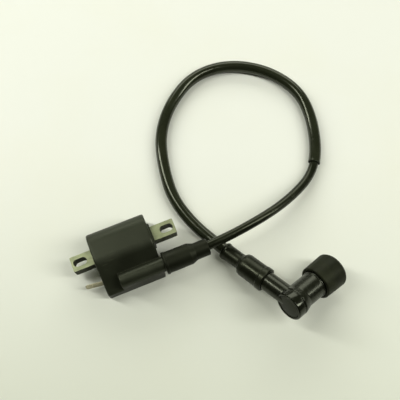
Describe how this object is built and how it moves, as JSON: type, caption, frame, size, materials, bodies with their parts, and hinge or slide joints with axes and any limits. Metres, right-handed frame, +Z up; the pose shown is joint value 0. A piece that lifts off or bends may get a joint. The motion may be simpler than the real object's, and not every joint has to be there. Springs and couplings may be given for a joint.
{
  "type": "ignition coil",
  "caption": "Small-engine ignition coil: potted black case on a slotted laminated core, blade terminal, booted tower, looped high-tension lead in a sleeve and an elbow spark plug cap.",
  "frame": {"origin": "centre of the case's base, on the surface it stands on, halfway between the two mounting slots", "axes": "+X along the laminated core, towards the side that the lead leaves from; +Y away from the high-tension tower, towards the block of the windings; +Z up"},
  "size_m": [0.2203, 0.2176, 0.0376],
  "materials": {
    "case": "satin moulded black plastic",
    "potting": "cast resin",
    "core_steel": "zinc plated sheet steel",
    "bobbin": "plain moulding",
    "copper": "enamelled wire",
    "tape": "polyester film",
    "terminal_brass": "dull, lightly tarnished",
    "boot_rubber": "matte black rubber",
    "lead_jacket": "satin black jacket",
    "sleeve_vinyl": "glossy black vinyl",
    "cap_resin": "polished black resin",
    "spring_steel": "plain",
    "ceramic": "fired ceramic body",
    "seal_rubber": "matte black rubber"
  },
  "bodies": {
    "root": {"case_shell": "case", "potting_fill": "potting", "core_laminations": "core_steel", "primary_bobbin": "bobbin", "primary_winding": "copper", "winding_insulation": "tape", "secondary_bobbin": "bobbin", "secondary_winding": "copper", "primary_terminal": "terminal_brass", "primary_wire": "copper", "ground_strap": "copper", "ht_link_wire": "copper", "tower_contact": "terminal_brass", "coil_boot": "boot_rubber", "ht_lead": "lead_jacket", "ht_conductor": "copper", "lead_sleeve": "sleeve_vinyl", "cap_wire_boot": "boot_rubber", "cap_body": "cap_resin", "cap_end_plug": "cap_resin", "cap_wire_screw": "terminal_brass", "cap_elbow_contact": "terminal_brass", "cap_spring": "spring_steel", "cap_resistor": "ceramic", "plug_clip": "terminal_brass", "clip_ring": "spring_steel", "plug_seal": "seal_rubber"}
  },
  "joints": []
}
